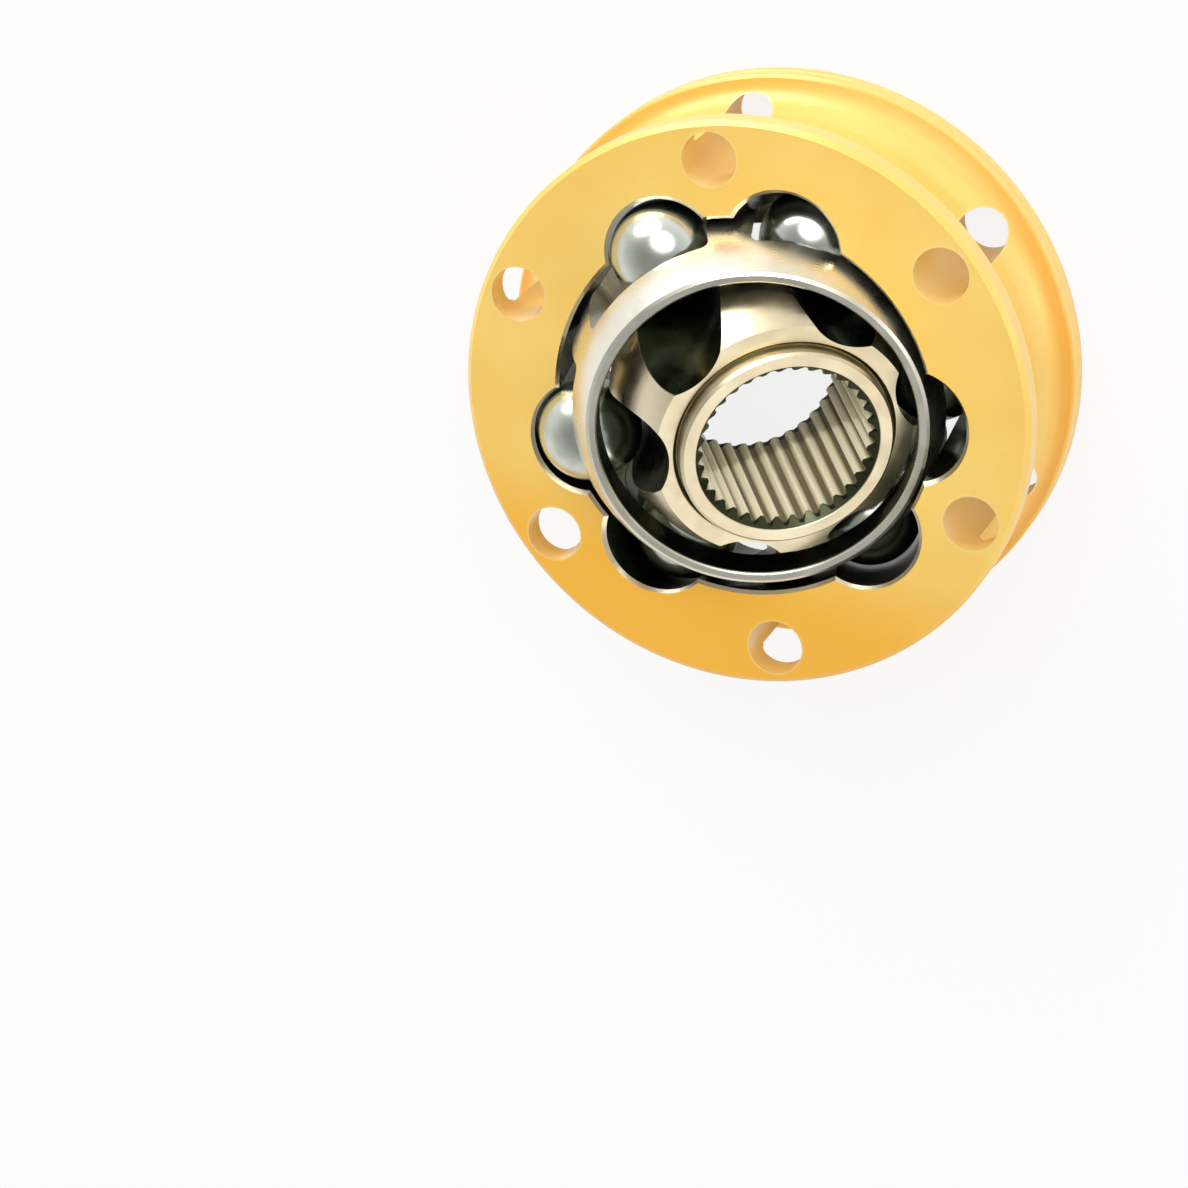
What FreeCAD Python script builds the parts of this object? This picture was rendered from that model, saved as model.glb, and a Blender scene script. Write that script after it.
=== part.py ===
import FreeCAD, Part
import math
import os
from FreeCAD import Vector

# A six-ball cross-groove joint: outer race, cage, inner race and balls.
# Millimetres. +Z is the outer race's axis, and the back flange stands on Z = 0.
# The joint is drawn as it lies in use on a bench: drawn out, and tilted about X.

# Shaft bore
SPLINE_TEETH = 34
SPLINE_ROOT_D = 33.0
SPLINE_DEPTH = 1.3
SPLINE_FLANK = 30.0
SPLINE_MOUTH = 0.5

# Balls and their tracks
BALLS = 6
BALL_D = 19.05
GROOVE_ROOM = 0.475
GROOVE_SLANT = 15.5

# Inner race
HUB_WALL = 3.1
HUB_LAND = 1.4
HUB_RISE = 2.6
HUB_GROOVE = 0.9
INNER_FRONT = 11.6
INNER_BACK = 15.0
INNER_LAG = 3.9
INNER_EDGE = 0.5
RING_GROOVES = 3
RING_PITCH = 1.25
RING_DEPTH = 0.2
RING_WIDTH = 0.5

# Cage
CAGE_OUTSIDE = 4.0
CAGE_WALL = 4.8
CAGE_ROOM = 1.97
CAGE_FRONT_RIM = 7.4
CAGE_BACK_RIM = 5.8
CAGE_LIP = 1.6
CAGE_EDGE = 0.4
WINDOW_PLAY = 0.3
WINDOW_TRAVEL = 4.0
WINDOW_CORNER = 1.5

# Outer race
WIDTH = 35.0
CAGE_PLAY = 0.15
BORE_EDGE = 0.6
CORE_WALL = 7.0
BOLTS = 6
BOLT_CIRCLE_D = 92.0
BOLT_HOLE_D = 10.2
BACK_MARGIN = 2.9
FRONT_MARGIN = 1.9
BACK_RIM_H = 6.2
FRONT_RIM_H = 5.6
BACK_EDGE = 0.6
FRONT_EDGE = 0.9
DISH_R = 7.5
NECK_R = 1.2
WALL_STEP = 0.4
RIM_LINE = 0.25

# Pose
TILT = 33.5
DRAW_OUT = 6.8

# Sizes that follow from those above
BALL_R = BALL_D / 2
GROOVE_R = BALL_R + GROOVE_ROOM
SPLINE_ROOT_R = SPLINE_ROOT_D / 2
SPLINE_TIP_R = SPLINE_ROOT_R - SPLINE_DEPTH
HUB_R = SPLINE_ROOT_R + HUB_WALL
TRACK_R = HUB_R + HUB_LAND + GROOVE_R
INNER_TOP = INNER_FRONT + HUB_RISE
CAGE_R = TRACK_R + CAGE_OUTSIDE
CAGE_INNER_R = CAGE_R - CAGE_WALL
INNER_R = CAGE_INNER_R - CAGE_ROOM
LIP_R = CAGE_INNER_R - CAGE_LIP
WINDOW_HALF_H = BALL_R + WINDOW_PLAY
WINDOW_HALF_W = BALL_R + WINDOW_TRAVEL
CAGE_FRONT = WINDOW_HALF_H + CAGE_FRONT_RIM
CAGE_BACK = WINDOW_HALF_H + CAGE_BACK_RIM
LAND_R = CAGE_R + CAGE_PLAY
CORE_R = TRACK_R + GROOVE_R + CORE_WALL
BOLT_R = BOLT_HOLE_D / 2
BOLT_CIRCLE_R = BOLT_CIRCLE_D / 2
BACK_R = BOLT_CIRCLE_R + BOLT_R + BACK_MARGIN
FRONT_R = BOLT_CIRCLE_R + BOLT_R + FRONT_MARGIN
MID_Z = WIDTH / 2
PIVOT = Vector(0, 0, MID_Z + DRAW_OUT)
BALL_PITCH = 360.0 / BALLS

X_AXIS = Vector(1, 0, 0)
Z_AXIS = Vector(0, 0, 1)
ORIGIN = Vector(0, 0, 0)
THROUGH = 4 * WIDTH
SAME_PLACE = 1e-6


def turned(points):
    """A solid of revolution about Z from its half section, given as (radius, height) points."""
    corners = [Vector(radius, 0, height) for radius, height in points]
    corners.append(corners[0])
    return Part.Face(Part.makePolygon(corners)).revolve(ORIGIN, Z_AXIS, 360)


def turned_edges(edges):
    """A solid of revolution about Z from the edges of its half section, in order."""
    return Part.Face(Part.Wire(edges)).revolve(ORIGIN, Z_AXIS, 360)


def line(start, end):
    return Part.LineSegment(start, end).toShape()


def section(radius, height):
    return Vector(radius, 0, height)


def around(angle, radius, height=0.0):
    """The point at an angle about Z."""
    turn = math.radians(angle)
    return Vector(radius * math.cos(turn), radius * math.sin(turn), height)


def slant_side(index):
    """Neighbouring tracks lean opposite ways, so they pair up at each face."""
    return 1 if index % 2 == 0 else -1


def track_direction(index, side):
    """Unit vector along a ball track, leaning sideways about the axis."""
    slant = math.radians(GROOVE_SLANT)
    turn = math.radians(index * BALL_PITCH)
    sideways = Vector(-math.sin(turn), math.cos(turn), 0) * (math.sin(slant) * side)
    return sideways + Z_AXIS * math.cos(slant)


def track_cutters(height, side):
    """Round bars along the six ball tracks of one race."""
    bars = []
    for index in range(BALLS):
        lean = side * slant_side(index)
        direction = track_direction(index, lean)
        centre = around(index * BALL_PITCH, TRACK_R, height)
        start = centre - direction * (THROUGH / 2)
        bars.append(Part.makeCylinder(GROOVE_R, THROUGH, start, direction))
    return bars


def edges_on(shape, height, reach):
    """Edges that lie on one flat end of a solid, no further than a radius from its axis."""
    found = []
    for edge in shape.Edges:
        box = edge.BoundBox
        flat = max(abs(box.ZMin - height), abs(box.ZMax - height)) < SAME_PLACE
        middle = edge.valueAt((edge.FirstParameter + edge.LastParameter) / 2)
        if flat and math.hypot(middle.x, middle.y) < reach:
            found.append(edge)
    return found


def outer_race():
    """A waisted body with a flange at each end, a plain bore and six slanted tracks."""
    back_top = section(BACK_R - BACK_EDGE, BACK_RIM_H)
    reach = BACK_R - BACK_EDGE - CORE_R
    dish = max(min(DISH_R, WIDTH - BACK_RIM_H - FRONT_RIM_H - NECK_R - 2 * WALL_STEP), reach)
    drop = math.sqrt(dish ** 2 - (reach - dish) ** 2)
    wall_foot = section(CORE_R, BACK_RIM_H + drop)
    dish_centre = section(CORE_R + dish, BACK_RIM_H + drop)
    way = (back_top - dish_centre).normalize() + Vector(-1, 0, 0)
    dish_middle = dish_centre + way.normalize() * dish
    neck_z = WIDTH - FRONT_RIM_H
    step_z = neck_z - NECK_R - WALL_STEP
    neck_low = section(CORE_R + WALL_STEP, neck_z - NECK_R)
    neck_high = section(CORE_R + WALL_STEP + NECK_R, neck_z)
    neck_centre = section(CORE_R + WALL_STEP + NECK_R, neck_z - NECK_R)
    neck_middle = neck_centre + Vector(-1, 0, 1).normalize() * NECK_R
    rim_middle = BACK_RIM_H / 2
    lower = [
        section(LAND_R, 0),
        section(BACK_R - BACK_EDGE, 0),
        section(BACK_R, BACK_EDGE),
        section(BACK_R, rim_middle - RIM_LINE),
        section(BACK_R - RIM_LINE, rim_middle),
        section(BACK_R, rim_middle + RIM_LINE),
        section(BACK_R, BACK_RIM_H - BACK_EDGE),
        back_top,
    ]
    upper = [
        neck_high,
        section(FRONT_R - BACK_EDGE, neck_z),
        section(FRONT_R, neck_z + BACK_EDGE),
        section(FRONT_R, WIDTH - FRONT_EDGE),
        section(FRONT_R - FRONT_EDGE, WIDTH),
        section(LAND_R, WIDTH),
        lower[0],
    ]
    edges = [line(start, end) for start, end in zip(lower, lower[1:])]
    edges.append(Part.Arc(back_top, dish_middle, wall_foot).toShape())
    edges.append(line(wall_foot, section(CORE_R, step_z)))
    edges.append(line(section(CORE_R, step_z), neck_low))
    edges.append(Part.Arc(neck_low, neck_middle, neck_high).toShape())
    edges.extend(line(start, end) for start, end in zip(upper, upper[1:]))
    race = turned_edges(edges)
    for index in range(BOLTS):
        angle = (index + 0.5) * 360.0 / BOLTS
        hole = Part.makeCylinder(BOLT_R, THROUGH, around(angle, BOLT_CIRCLE_R, -WIDTH), Z_AXIS)
        race = race.cut(hole)
    race = race.cut(track_cutters(MID_Z, 1))
    inside = TRACK_R + GROOVE_R + BORE_EDGE
    mouths = edges_on(race, 0, inside) + edges_on(race, WIDTH, inside)
    return race.makeChamfer(BORE_EDGE, mouths)


def cage():
    """A barrel-shaped ring with one window for each ball, drawn about its own centre."""
    shell = Part.makeSphere(CAGE_R)
    hollow = Part.makeSphere(CAGE_INNER_R)
    slab = Part.makeCylinder(CAGE_R, CAGE_FRONT + CAGE_BACK, Vector(0, 0, -CAGE_BACK), Z_AXIS)
    mouth = Part.makeCylinder(LIP_R, THROUGH, Vector(0, 0, -THROUGH / 2), Z_AXIS)
    ring = shell.common(slab).cut(hollow).cut(mouth)
    rims = edges_on(ring, CAGE_FRONT, CAGE_R) + edges_on(ring, -CAGE_BACK, CAGE_R)
    ring = ring.makeChamfer(CAGE_EDGE, rims)
    corner = Vector(0, -WINDOW_HALF_W, -WINDOW_HALF_H)
    opening = Part.makeBox(2 * CAGE_R, 2 * WINDOW_HALF_W, 2 * WINDOW_HALF_H, corner)
    along_x = [edge for edge in opening.Edges if edge.BoundBox.XLength > CAGE_R]
    opening = opening.makeFillet(WINDOW_CORNER, along_x)
    for index in range(BALLS):
        window = opening.copy()
        window.rotate(ORIGIN, Z_AXIS, index * BALL_PITCH)
        ring = ring.cut(window)
    return ring


def spline_space():
    """The star-shaped bar that a splined shaft fills, from straight-sided teeth."""
    mean_r = (SPLINE_ROOT_R + SPLINE_TIP_R) / 2
    half_space = math.pi * mean_r / (2 * SPLINE_TEETH)
    lean = SPLINE_DEPTH / 2 * math.tan(math.radians(SPLINE_FLANK))
    root_turn = math.degrees((half_space - lean) / SPLINE_ROOT_R)
    tip_turn = math.degrees((half_space + lean) / SPLINE_TIP_R)
    corners = []
    for tooth in range(SPLINE_TEETH):
        angle = tooth * 360.0 / SPLINE_TEETH
        corners.append(around(angle - tip_turn, SPLINE_TIP_R))
        corners.append(around(angle - root_turn, SPLINE_ROOT_R))
        corners.append(around(angle + root_turn, SPLINE_ROOT_R))
        corners.append(around(angle + tip_turn, SPLINE_TIP_R))
    corners.append(corners[0])
    outline = Part.Face(Part.makePolygon(corners))
    outline.translate(Vector(0, 0, -THROUGH / 2))
    return outline.extrude(Z_AXIS * THROUGH)


def mouth_cone(height, outwards):
    """The cone that breaks the edge of the splined bore at one end."""
    wide = SPLINE_ROOT_R + SPLINE_MOUTH
    depth = wide - SPLINE_TIP_R
    return Part.makeCone(SPLINE_TIP_R, wide, depth, Vector(0, 0, height - outwards * depth), Z_AXIS * outwards)


def inner_race():
    """A grooved barrel, widest behind the balls, with a raised ring and a splined bore."""
    blank = Part.makeSphere(INNER_R, Vector(0, 0, -INNER_LAG))
    height = INNER_FRONT + INNER_BACK
    slab = Part.makeCylinder(INNER_R, height, Vector(0, 0, -INNER_BACK), Z_AXIS)
    blank = blank.common(slab)
    blank = blank.cut(track_cutters(0, -1))
    groove_floor = INNER_FRONT - HUB_GROOVE
    foot = turned([(HUB_R, groove_floor), (HUB_R + HUB_GROOVE, INNER_FRONT), (HUB_R, INNER_FRONT)])
    ring = turned([
        (SPLINE_TIP_R / 2, 0),
        (HUB_R, 0),
        (HUB_R, INNER_TOP - INNER_EDGE),
        (HUB_R - INNER_EDGE, INNER_TOP),
        (SPLINE_TIP_R / 2, INNER_TOP),
    ])
    race = blank.cut(foot).fuse(ring)
    back_wide = SPLINE_ROOT_R + SPLINE_MOUTH + RING_PITCH
    for index in range(RING_GROOVES):
        middle = back_wide + index * RING_PITCH
        cut = turned([
            (middle - RING_WIDTH / 2, -INNER_BACK),
            (middle, -INNER_BACK + RING_DEPTH),
            (middle + RING_WIDTH / 2, -INNER_BACK),
        ])
        race = race.cut(cut)
    race = race.cut(spline_space())
    race = race.cut(mouth_cone(INNER_TOP, 1)).cut(mouth_cone(-INNER_BACK, -1))
    return race.removeSplitter()


def ball(index):
    """A ball where the tilted cage's middle plane crosses its track in the outer race."""
    lean = math.tan(math.radians(TILT / 2))
    direction = track_direction(index, slant_side(index))
    middle = around(index * BALL_PITCH, TRACK_R, MID_Z)
    travel = (DRAW_OUT + middle.y * lean) / (direction.z - direction.y * lean)
    return Part.makeSphere(BALL_R, middle + direction * travel)


def posed(shape, tilt, drawn):
    """A piece drawn out along its own axis, and that axis tilted about X at the pivot."""
    shape.translate(Vector(0, 0, drawn))
    shape.rotate(ORIGIN, X_AXIS, tilt)
    shape.translate(PIVOT)
    return shape


pieces = {
    "outer_race": outer_race(),
    "cage": posed(cage(), TILT / 2, 0),
    "inner_race": posed(inner_race(), TILT, DRAW_OUT),
}
for number in range(BALLS):
    pieces["ball_%d" % (number + 1)] = ball(number)

os.makedirs("parts", exist_ok=True)
for name, shape in pieces.items():
    shape.exportStep("parts/%s.step" % name)
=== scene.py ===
import math

import bpy
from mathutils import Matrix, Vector

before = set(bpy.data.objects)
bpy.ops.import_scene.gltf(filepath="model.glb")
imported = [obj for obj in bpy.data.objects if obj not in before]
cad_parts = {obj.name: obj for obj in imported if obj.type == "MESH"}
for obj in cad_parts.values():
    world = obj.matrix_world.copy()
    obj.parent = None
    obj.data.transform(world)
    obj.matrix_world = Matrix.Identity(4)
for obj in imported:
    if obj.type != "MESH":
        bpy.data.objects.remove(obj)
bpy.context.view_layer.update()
bpy.ops.object.select_all(action="DESELECT")

# Outer race, in metres from its axis and from its back face
BORE_REACH = 0.0424
BOLT_COUNT = 6
BOLT_CIRCLE = 0.046
BOLT_HOLE = 0.0051
WAIST = 0.0485
DISH_FLOOR = 0.0060
DISH_TOP = 0.0125

# Cage and inner race, in metres and degrees about the pivot
PIVOT = (0, 0, 0.0243)
CAGE_TILT = 16.75
CAGE_HOLLOW = 0.0303
CAGE_LIP = 0.0287
RACE_TILT = 33.5
RACE_MIDDLE = (0, -0.00375, 0.02997)
RACE_ROUND = 0.02815
RACE_HUB = 0.0197

# How far the inner race is drawn out, and how far its widest part lies behind the balls
DRAWN_OUT = 0.0068
RACE_LAG = 0.0039

# Inner race, along its own axis from its middle, and its splines from that axis
RACE_ENDS = (-0.01495, 0.01155)
SPLINE_ENDS = (-0.0132, 0.0124)
SPLINE_MOUTH = 0.01695
SPLINE_ROOT = 0.0165
SPLINE_TIP = 0.0152

# Balls: each one's oil lies a step further along, so that no two are alike
BALL_COUNT = 6
BALL_STEP = (0.013, 0.029, 0.007)

# Where painted shade deepens the coating past the waist, and the side that is painted in shade
DISH_SHADE_FROM = 0.0012
DISH_SHADE_BY = 0.0034
DISH_SHADE_SHARE = 0.8
SHADED_SIDE = (-0.88, -0.17, 0)
SIDE_SHADE_FROM = 0.018
SIDE_SHADE_BY = 0.032
SIDE_SHADE_SHARE = 0.95

# Colours of the coating, some deepened as painted shade and one paled as a painted highlight
COATING = (0.96, 0.60, 0.11)
COATING_THIN = (0.98, 0.67, 0.16)
# Painted shade: the deep orange of the dish's outer part
COATING_IN_DISH_SHADE = (0.94, 0.42, 0.03)
# Painted shade: the deeper orange of the shaded side
COATING_IN_SIDE_SHADE = (0.97, 0.49, 0.03)
COATING_STAINED = (0.70, 0.42, 0.10)
# Painted highlight: the pale ring round the bolt holes
COATING_EDGE_HIGHLIGHT = (0.97, 0.74, 0.36)
COATING_IN_HOLES = (0.91, 0.63, 0.20)

# Colours of the steel, most of them in two tones; the darkest are painted shade, and the pale edge and
# splines are painted light
# Painted shade in the bore and tracks, and a painted highlight on the bore's broken edge
BORE_STEEL_SHADED = ((0.045, 0.055, 0.035), (0.13, 0.135, 0.09))
BORE_EDGE_HIGHLIGHT = (0.78, 0.68, 0.50)
CAGE_OUTSIDE = ((0.76, 0.73, 0.59), (0.91, 0.88, 0.78))
# Painted shade: the dark inside of the cage
CAGE_INSIDE_SHADED = ((0.05, 0.06, 0.04), (0.14, 0.145, 0.10))
RACE_FACES = ((0.66, 0.56, 0.37), (0.84, 0.75, 0.55))
# Painted shade: the dark tracks of the inner race
RACE_TRACKS_SHADED = ((0.05, 0.07, 0.04), (0.13, 0.145, 0.09))
# Painted shadow in the bore's mouths, painted light on the splines and painted shade at their roots
SHAFT_MOUTH_SHADOW = (0.05, 0.055, 0.03)
SPLINES_LIT = (1.0, 0.94, 0.70)
SPLINE_ROOTS_SHADED = (0.16, 0.125, 0.05)
BALL_STEEL = ((0.72, 0.76, 0.70), (0.55, 0.59, 0.50))

# Metal shows fully on bare steel, and little under the coating and on the splines, whose pale colour is
# painted light
FULL_METAL = 1.0
COATED_METAL = 0.12
SPLINE_METAL = 0.08

# Width of the soft line between two finishes, depth of a tool's marks, and a grain's usual span
SOFT = 0.0001
TOOL_MARK = 0.00001
GRAIN_SPAN = (0.3, 0.7)

# Whites of the floor and the surroundings
FLOOR_WHITE = (0.86, 0.86, 0.86, 1)
WALL_WHITE = (1, 1, 1, 1)
FLOOR_SEEN = 0.85
FLOOR_MIRRORED = 0.35
WALLS_PLAIN = 0.66
OVERHEAD_MIRRORED = 0.34

# Tints and aim of the lamps
LAMPS_AIM = (0, 0, 0.02)
OVERHEAD_TINT = (1.0, 0.99, 0.96)
KEY_TINT = (1.0, 0.985, 0.95)
FRONT_TINT = (1.0, 0.97, 0.90)
SIDE_TINT = (1.0, 0.98, 0.94)

# Camera's place in metres, and its turn in degrees
CAMERA_PLACE = (0.3321, -0.1142, 0.7631)
CAMERA_TURN = (-21.68, 19.38, -68.52)


# Building blocks for the finishes
def new_finish(name):
    """A new material, with its node tree and its shader."""
    material = bpy.data.materials.new(name)
    material.use_nodes = True
    shader = material.node_tree.nodes["Principled BSDF"]
    return material, material.node_tree, shader


def put(tree, kind, **settings):
    """A node of one kind, with its settings."""
    node = tree.nodes.new(kind)
    for key, value in settings.items():
        setattr(node, key, value)
    return node


def place(tree):
    """The coordinates that a finish can follow."""
    return put(tree, "ShaderNodeTexCoord")


def work_out(tree, operation, first, second=None):
    """A sum of one or two values, where the second may be a plain number."""
    node = put(tree, "ShaderNodeMath", operation=operation)
    tree.links.new(first, node.inputs[0])
    if isinstance(second, (int, float)):
        node.inputs[1].default_value = second
    elif second is not None:
        tree.links.new(second, node.inputs[1])
    return node.outputs["Value"]


def work_vector(tree, operation, first, second=None, gives="Vector"):
    """A sum of one or two vectors, where the second may be plain numbers."""
    node = put(tree, "ShaderNodeVectorMath", operation=operation)
    tree.links.new(first, node.inputs[0])
    if isinstance(second, tuple):
        node.inputs[1].default_value = second
    elif second is not None:
        tree.links.new(second, node.inputs[1])
    return node.outputs[gives]


def split(tree, vector):
    """A vector's three lengths, along X, Y and Z."""
    parts = put(tree, "ShaderNodeSeparateXYZ")
    tree.links.new(vector, parts.inputs["Vector"])
    return parts.outputs["X"], parts.outputs["Y"], parts.outputs["Z"]


def noise(tree, where, scale, detail=3.0, roughness=0.5):
    """A grain that runs over the piece."""
    grain = put(tree, "ShaderNodeTexNoise")
    grain.inputs["Scale"].default_value = scale
    grain.inputs["Detail"].default_value = detail
    grain.inputs["Roughness"].default_value = roughness
    tree.links.new(where, grain.inputs["Vector"])
    return grain.outputs["Fac"]


def spread(tree, value, low, high, to_low=0.0, to_high=1.0):
    """A value stretched from one range to another, and held at its ends."""
    stretch = put(tree, "ShaderNodeMapRange")
    stretch.inputs["From Min"].default_value = low
    stretch.inputs["From Max"].default_value = high
    stretch.inputs["To Min"].default_value = to_low
    stretch.inputs["To Max"].default_value = to_high
    tree.links.new(value, stretch.inputs["Value"])
    return stretch.outputs["Result"]


def between(tree, value, bounds):
    """One where a value lies between two bounds, and nought elsewhere."""
    low, high = bounds
    over = spread(tree, value, low, low + SOFT)
    under = spread(tree, value, high, high - SOFT)
    return work_out(tree, "MULTIPLY", over, under)


def flatten(tree, vector):
    """A vector with its height taken out."""
    return work_vector(tree, "MULTIPLY", vector, (1, 1, 0))


def distance(tree, vector):
    """How far a point is from the middle."""
    return work_vector(tree, "LENGTH", vector, gives="Value")


def distance_from_axis(tree, vector):
    """How far a point is from Z."""
    return distance(tree, flatten(tree, vector))


def from_bolt_hole(tree, where, radius):
    """How far a point of the outer race is from the axis of the nearest bolt hole."""
    x, y = split(tree, where)[:2]
    sector = 2 * math.pi / BOLT_COUNT
    in_sector = work_out(tree, "FLOORED_MODULO", work_out(tree, "ARCTAN2", y, x), sector)
    aside = work_out(tree, "SUBTRACT", in_sector, sector / 2)
    towards_hole = work_out(tree, "MULTIPLY", work_out(tree, "COSINE", aside), radius)
    overlap = work_out(tree, "MULTIPLY", towards_hole, -2 * BOLT_CIRCLE)
    squares = work_out(tree, "ADD", work_out(tree, "MULTIPLY", radius, radius), BOLT_CIRCLE ** 2)
    return work_out(tree, "POWER", work_out(tree, "ADD", squares, overlap), 0.5)


def own_axes(tree, tilt):
    """Coordinates about the pivot, turned so that Z runs along a tilted piece's axis."""
    turn = put(tree, "ShaderNodeMapping")
    turn.inputs["Rotation"].default_value = (math.radians(-tilt), 0, 0)
    shifted = work_vector(tree, "SUBTRACT", place(tree).outputs["Object"], PIVOT)
    tree.links.new(shifted, turn.inputs["Vector"])
    return turn.outputs["Vector"]


def blend_values(tree, share, first, second):
    """Two values laid over each other."""
    mix = put(tree, "ShaderNodeMix", data_type="FLOAT")
    tree.links.new(share, mix.inputs["Factor"])
    tree.links.new(first, mix.inputs["A"])
    tree.links.new(second, mix.inputs["B"])
    return mix.outputs["Result"]


def blend_colours(tree, share, first, second):
    """Two colours laid over each other, each a plain colour or another blend."""
    mix = put(tree, "ShaderNodeMix", data_type="RGBA")
    tree.links.new(share, mix.inputs["Factor"])
    for slot, colour in (("A", first), ("B", second)):
        socket = [item for item in mix.inputs if item.name == slot and item.type == "RGBA"][0]
        if isinstance(colour, tuple):
            socket.default_value = (*colour, 1)
        else:
            tree.links.new(colour, socket)
    return [item for item in mix.outputs if item.type == "RGBA"][0]


def two_tones(tree, grain, tones, span=GRAIN_SPAN):
    """A colour that wanders between two tones as a grain does."""
    return blend_colours(tree, spread(tree, grain, *span), *tones)


def polish(tree, where, scale, detail, smoothest, roughest):
    """A roughness that wanders between two bounds over the piece."""
    return spread(tree, noise(tree, where, scale, detail), *GRAIN_SPAN, smoothest, roughest)


def relief(tree, height, depth, strength, under=None):
    """A fine relief from a height, laid over another one."""
    bump = put(tree, "ShaderNodeBump")
    bump.inputs["Distance"].default_value = depth
    bump.inputs["Strength"].default_value = strength
    tree.links.new(height, bump.inputs["Height"])
    if under is not None:
        tree.links.new(under, bump.inputs["Normal"])
    return bump.outputs["Normal"]


def turned_rings(tree, across, per_metre, strength):
    """A relief of fine turned rings, from a distance that grows across them."""
    waves = work_out(tree, "MULTIPLY", across, per_metre * 2 * math.pi)
    return relief(tree, work_out(tree, "SINE", waves), TOOL_MARK, strength)


def scratched(tree, where, scale, under):
    """Small scratches, laid over another relief."""
    return relief(tree, noise(tree, where, scale), TOOL_MARK, strength=0.15, under=under)


# Outer race: gold coating outside, bare ground steel in the bore and the tracks
def outer_race_finish():
    material, tree, shader = new_finish("gold_coating_and_ground_bore")
    spot = place(tree)
    where = spot.outputs["Object"]
    radius = distance_from_axis(tree, where)
    height = split(tree, where)[2]

    # Bare steel is on faces that look towards the axis, inside the bore's reach
    outwards = work_vector(tree, "NORMALIZE", flatten(tree, where))
    facing = work_vector(tree, "DOT_PRODUCT", outwards, spot.outputs["Normal"], gives="Value")
    inwards = spread(tree, facing, low=-0.04, high=-0.06)
    near = spread(tree, radius, BORE_REACH + SOFT, BORE_REACH)
    bare = work_out(tree, "MULTIPLY", inwards, near)

    # The coating's tone changes a little everywhere, and painted shade makes it deeper in the outer
    # part of the dish
    mottle = noise(tree, where, scale=38.0, detail=4.0, roughness=0.55)
    gold = two_tones(tree, mottle, (COATING, COATING_THIN), span=(0.35, 0.65))
    beyond = spread(tree, radius, WAIST + DISH_SHADE_FROM, WAIST + DISH_SHADE_BY)
    low = spread(tree, height, DISH_TOP, DISH_FLOOR)
    clear = spread(tree, height, DISH_FLOOR - 4 * SOFT, DISH_FLOOR)
    dish_shade = work_out(tree, "MULTIPLY", beyond, work_out(tree, "MULTIPLY", low, clear))
    dish_shade = work_out(tree, "MULTIPLY", dish_shade, DISH_SHADE_SHARE)
    gold = blend_colours(tree, dish_shade, gold, COATING_IN_DISH_SHADE)

    # It is painted deeper on one side as painted shade, with a few faint stains
    to_side = work_vector(tree, "DOT_PRODUCT", where, SHADED_SIDE, gives="Value")
    side_shade = spread(tree, to_side, SIDE_SHADE_FROM, SIDE_SHADE_BY, to_high=SIDE_SHADE_SHARE)
    gold = blend_colours(tree, side_shade, gold, COATING_IN_SIDE_SHADE)
    specks = noise(tree, where, scale=140.0, detail=5.0, roughness=0.6)
    stain = spread(tree, specks, low=0.66, high=0.74, to_high=0.14)
    gold = blend_colours(tree, stain, gold, COATING_STAINED)

    # It is duller in the bolt holes, and pale round their edges as a painted highlight
    hole = from_bolt_hole(tree, where, radius)
    hole_edge_highlight = spread(tree, hole, BOLT_HOLE + 4 * SOFT, BOLT_HOLE + SOFT, to_high=0.45)
    gold = blend_colours(tree, hole_edge_highlight, gold, COATING_EDGE_HIGHLIGHT)
    in_hole = spread(tree, hole, BOLT_HOLE + SOFT, BOLT_HOLE + SOFT / 2)
    gold = blend_colours(tree, in_hole, gold, COATING_IN_HOLES)

    # The ground steel is painted dark in the bore as painted shade, and pale on the broken edge at the
    # faces as a painted highlight
    cloud = noise(tree, where, scale=55.0, detail=4.0, roughness=0.6)
    steel = two_tones(tree, cloud, BORE_STEEL_SHADED, span=(0.35, 0.7))
    steep = work_out(tree, "ABSOLUTE", split(tree, spot.outputs["Normal"])[2])
    steel = blend_colours(tree, spread(tree, steep, low=0.45, high=0.6), steel, BORE_EDGE_HIGHLIGHT)
    tree.links.new(blend_colours(tree, bare, gold, steel), shader.inputs["Base Color"])

    # The coating is satin with a clear shine, and the steel is lapped
    metal = spread(tree, bare, 0, 1, COATED_METAL, FULL_METAL)
    satin = polish(tree, where, scale=210.0, detail=3.0, smoothest=0.33, roughest=0.42)
    lapped = polish(tree, where, scale=160.0, detail=4.0, smoothest=0.14, roughest=0.30)
    tree.links.new(metal, shader.inputs["Metallic"])
    tree.links.new(blend_values(tree, bare, satin, lapped), shader.inputs["Roughness"])
    shader.inputs["Specular IOR Level"].default_value = 0.7
    shader.inputs["Coat Weight"].default_value = 0.45
    shader.inputs["Coat Roughness"].default_value = 0.2
    blasted = noise(tree, where, scale=2600.0, detail=2.0)
    blasted = relief(tree, blasted, depth=2 * TOOL_MARK, strength=0.25)
    tree.links.new(blasted, shader.inputs["Normal"])
    return material


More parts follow.
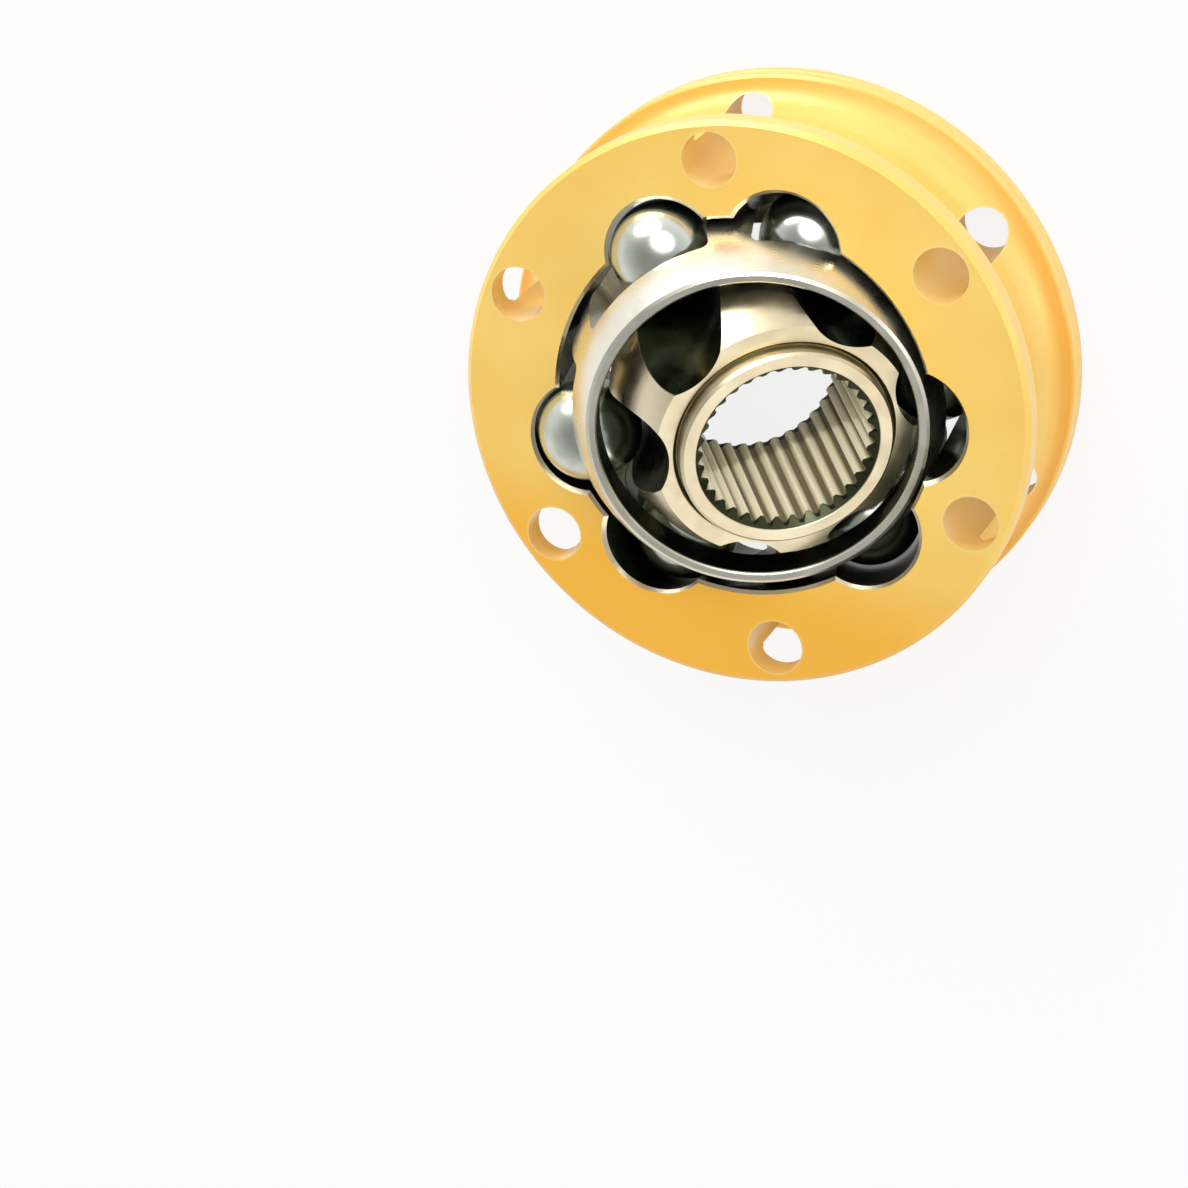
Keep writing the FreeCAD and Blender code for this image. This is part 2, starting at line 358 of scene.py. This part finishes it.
# Cage: bright turned band outside, painted dark inside as painted shade
def cage_finish():
    material, tree, shader = new_finish("turned_cage_steel")
    where = own_axes(tree, CAGE_TILT)
    along = split(tree, where)[2]
    smudge = noise(tree, where, scale=48.0, detail=4.0, roughness=0.6)
    outside = two_tones(tree, smudge, CAGE_OUTSIDE)
    inside = two_tones(tree, smudge, CAGE_INSIDE_SHADED)
    # The hollow and the lip take the dark inside tones as painted shade
    hollow = spread(tree, distance(tree, where), CAGE_HOLLOW + 2 * SOFT, CAGE_HOLLOW)
    lip = spread(tree, distance_from_axis(tree, where), CAGE_LIP + SOFT, CAGE_LIP)
    inner = work_out(tree, "MAXIMUM", hollow, lip)
    satin = polish(tree, where, scale=190.0, detail=4.0, smoothest=0.24, roughest=0.36)
    turned = turned_rings(tree, along, per_metre=1500.0, strength=0.35)
    tree.links.new(blend_colours(tree, inner, outside, inside), shader.inputs["Base Color"])
    shader.inputs["Metallic"].default_value = FULL_METAL
    tree.links.new(satin, shader.inputs["Roughness"])
    tree.links.new(scratched(tree, where, scale=900.0, under=turned), shader.inputs["Normal"])
    return material


# Inner race: satin ground faces with faint turned rings
def inner_race_finish():
    material, tree, shader = new_finish("ground_inner_race_steel")
    where = own_axes(tree, RACE_TILT)
    radius = distance_from_axis(tree, where)
    along = work_out(tree, "SUBTRACT", split(tree, where)[2], DRAWN_OUT)
    smudge = noise(tree, where, scale=62.0, detail=4.0, roughness=0.6)
    faces = two_tones(tree, smudge, RACE_FACES)
    tracks = two_tones(tree, smudge, RACE_TRACKS_SHADED)

    # The tracks are what lies below the round outside, between the two flat ends, and they are painted
    # dark as painted shade
    from_middle = work_vector(tree, "SUBTRACT", where, (0, 0, DRAWN_OUT - RACE_LAG))
    sunk = spread(tree, distance(tree, from_middle), RACE_ROUND, RACE_ROUND - SOFT)
    beyond = spread(tree, radius, RACE_HUB, RACE_HUB + SOFT)
    inside = between(tree, along, RACE_ENDS)
    ground = work_out(tree, "MULTIPLY", work_out(tree, "MULTIPLY", sunk, beyond), inside)
    colour = blend_colours(tree, ground, faces, tracks)

    # The splines are painted pale as painted light and dark at their roots as painted shade, and the
    # mouths of their bore are painted dark as painted shadow
    shaft_way = spread(tree, radius, SPLINE_MOUTH, SPLINE_MOUTH - SOFT)
    colour = blend_colours(tree, shaft_way, colour, SHAFT_MOUTH_SHADOW)
    toothed = work_out(tree, "MULTIPLY", shaft_way, between(tree, along, SPLINE_ENDS))
    colour = blend_colours(tree, toothed, colour, SPLINES_LIT)
    deep = spread(tree, radius, SPLINE_TIP + 5 * SOFT, SPLINE_ROOT - SOFT, to_high=0.95)
    root_shade = work_out(tree, "MULTIPLY", deep, toothed)
    colour = blend_colours(tree, root_shade, colour, SPLINE_ROOTS_SHADED)
    metal = spread(tree, toothed, 0, 1, FULL_METAL, SPLINE_METAL)
    tree.links.new(colour, shader.inputs["Base Color"])
    tree.links.new(metal, shader.inputs["Metallic"])

    # The tracks are smoother than the faces
    satin = polish(tree, where, scale=230.0, detail=4.0, smoothest=0.28, roughest=0.42)
    smoother = work_out(tree, "MULTIPLY", ground, 0.12)
    turned = turned_rings(tree, radius, per_metre=1700.0, strength=0.25)
    tree.links.new(work_out(tree, "SUBTRACT", satin, smoother), shader.inputs["Roughness"])
    tree.links.new(scratched(tree, where, scale=1000.0, under=turned), shader.inputs["Normal"])
    return material


# Balls: lapped and polished, with a trace of oil
def ball_finish(number):
    material, tree, shader = new_finish("polished_ball_steel_%d" % number)
    shift = put(tree, "ShaderNodeMapping")
    shift.inputs["Location"].default_value = [number * step for step in BALL_STEP]
    tree.links.new(place(tree).outputs["Object"], shift.inputs["Vector"])
    where = shift.outputs["Vector"]
    oil = noise(tree, where, scale=110.0, detail=4.0, roughness=0.6)
    oiled = spread(tree, oil, low=0.35, high=0.75, to_low=0.18, to_high=0.30)
    lapped = noise(tree, where, scale=1400.0, detail=2.0)
    lapped = relief(tree, lapped, depth=0.4 * TOOL_MARK, strength=0.1)
    tree.links.new(two_tones(tree, oil, BALL_STEEL, span=(0.4, 0.7)), shader.inputs["Base Color"])
    shader.inputs["Metallic"].default_value = FULL_METAL
    tree.links.new(oiled, shader.inputs["Roughness"])
    tree.links.new(lapped, shader.inputs["Normal"])
    return material


def wear(node, material):
    """A CAD piece takes a finish in every slot that it has."""
    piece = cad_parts[node]
    for slot in piece.material_slots:
        slot.material = material


wear("outer_race", outer_race_finish())
wear("cage", cage_finish())
wear("inner_race", inner_race_finish())
for number in range(1, BALL_COUNT + 1):
    wear("ball_%d" % number, ball_finish(number))


# Floor and surroundings
def seen_directly(tree, rays):
    """One where the camera sees a thing itself, or sees it through glass."""
    return work_out(tree, "MAXIMUM", rays.outputs["Is Camera Ray"], rays.outputs["Is Transmission Ray"])


def white_ground():
    """A pale floor that shows white, and keeps the joint's shadow."""
    material, tree, shader = new_finish("white_ground")
    shader.inputs["Base Color"].default_value = FLOOR_WHITE
    shader.inputs["Roughness"].default_value = 0.9
    glow = put(tree, "ShaderNodeEmission")
    glow.inputs["Strength"].default_value = 1.0
    rays = put(tree, "ShaderNodeLightPath")
    seen = work_out(tree, "MULTIPLY", seen_directly(tree, rays), FLOOR_SEEN)
    mirrored = work_out(tree, "MULTIPLY", rays.outputs["Is Glossy Ray"], FLOOR_MIRRORED)
    mix = put(tree, "ShaderNodeMixShader")
    tree.links.new(work_out(tree, "MAXIMUM", seen, mirrored), mix.inputs["Fac"])
    tree.links.new(shader.outputs["BSDF"], mix.inputs[1])
    tree.links.new(glow.outputs["Emission"], mix.inputs[2])
    tree.links.new(mix.outputs["Shader"], tree.nodes["Material Output"].inputs["Surface"])
    return material


def white_studio():
    """White walls, darker overhead in reflections, that light the joint at a plain level."""
    world = bpy.data.worlds.new("studio")
    world.use_nodes = True
    tree = world.node_tree
    backdrop = tree.nodes["Background"]
    backdrop.inputs["Color"].default_value = WALL_WHITE
    rays = put(tree, "ShaderNodeLightPath")
    glossy = rays.outputs["Is Glossy Ray"]
    height = split(tree, place(tree).outputs["Generated"])[2]
    fading = spread(tree, height, low=0.05, high=0.85, to_low=1.0, to_high=OVERHEAD_MIRRORED)
    mirrored = work_out(tree, "MULTIPLY", glossy, fading)
    plain = spread(tree, glossy, 0, 1, WALLS_PLAIN, 0.0)
    strength = work_out(tree, "MAXIMUM", seen_directly(tree, rays), mirrored)
    strength = work_out(tree, "MAXIMUM", strength, plain)
    tree.links.new(strength, backdrop.inputs["Strength"])
    return world


bpy.ops.mesh.primitive_plane_add(size=6, location=(0, 0, 0))
floor = bpy.context.object
floor.name = "floor"
floor.data.materials.append(white_ground())
bpy.context.scene.world = white_studio()


# Studio lamps
def aim(lamp, target):
    """A lamp turned so that it shines at a point."""
    lamp.rotation_euler = (Vector(target) - lamp.location).to_track_quat("-Z", "Y").to_euler()


def softbox(name, spot, width, height, power, tint):
    """A soft oval lamp that shines at the joint."""
    bpy.ops.object.light_add(type="AREA", location=spot)
    lamp = bpy.context.object
    lamp.name = name
    lamp.data.shape = "ELLIPSE"
    lamp.data.size = width
    lamp.data.size_y = height
    lamp.data.energy = power
    lamp.data.color = tint
    aim(lamp, LAMPS_AIM)


softbox("overhead", (0.75, 0.06, 0.90), width=1.15, height=0.95, power=4.6, tint=OVERHEAD_TINT)
softbox("key", (0.68, 0.79, 0.37), width=0.95, height=0.50, power=5.8, tint=KEY_TINT)
softbox("front", (-0.44, -0.80, 0.50), width=0.80, height=0.50, power=0.8, tint=FRONT_TINT)
softbox("side", (0.50, -0.85, 0.30), width=0.30, height=0.60, power=0.7, tint=SIDE_TINT)

# A narrow lamp that shines into the splined bore
bpy.ops.object.light_add(type="SPOT", location=(0.71, 0.084, 0.868))
snoot = bpy.context.object
snoot.name = "snoot"
snoot.data.energy = 20
snoot.data.spot_size = math.radians(3.2)
snoot.data.spot_blend = 0.7
snoot.data.shadow_soft_size = 0.018
aim(snoot, RACE_MIDDLE)

# Camera, from the photograph's side
bpy.ops.object.camera_add(location=CAMERA_PLACE)
camera = bpy.context.object
camera.rotation_euler = [math.radians(turn) for turn in CAMERA_TURN]
camera.data.sensor_width = 36
camera.data.lens = 136.36
camera.data.clip_end = 20
bpy.context.scene.camera = camera
bpy.context.scene.view_settings.view_transform = "Standard"
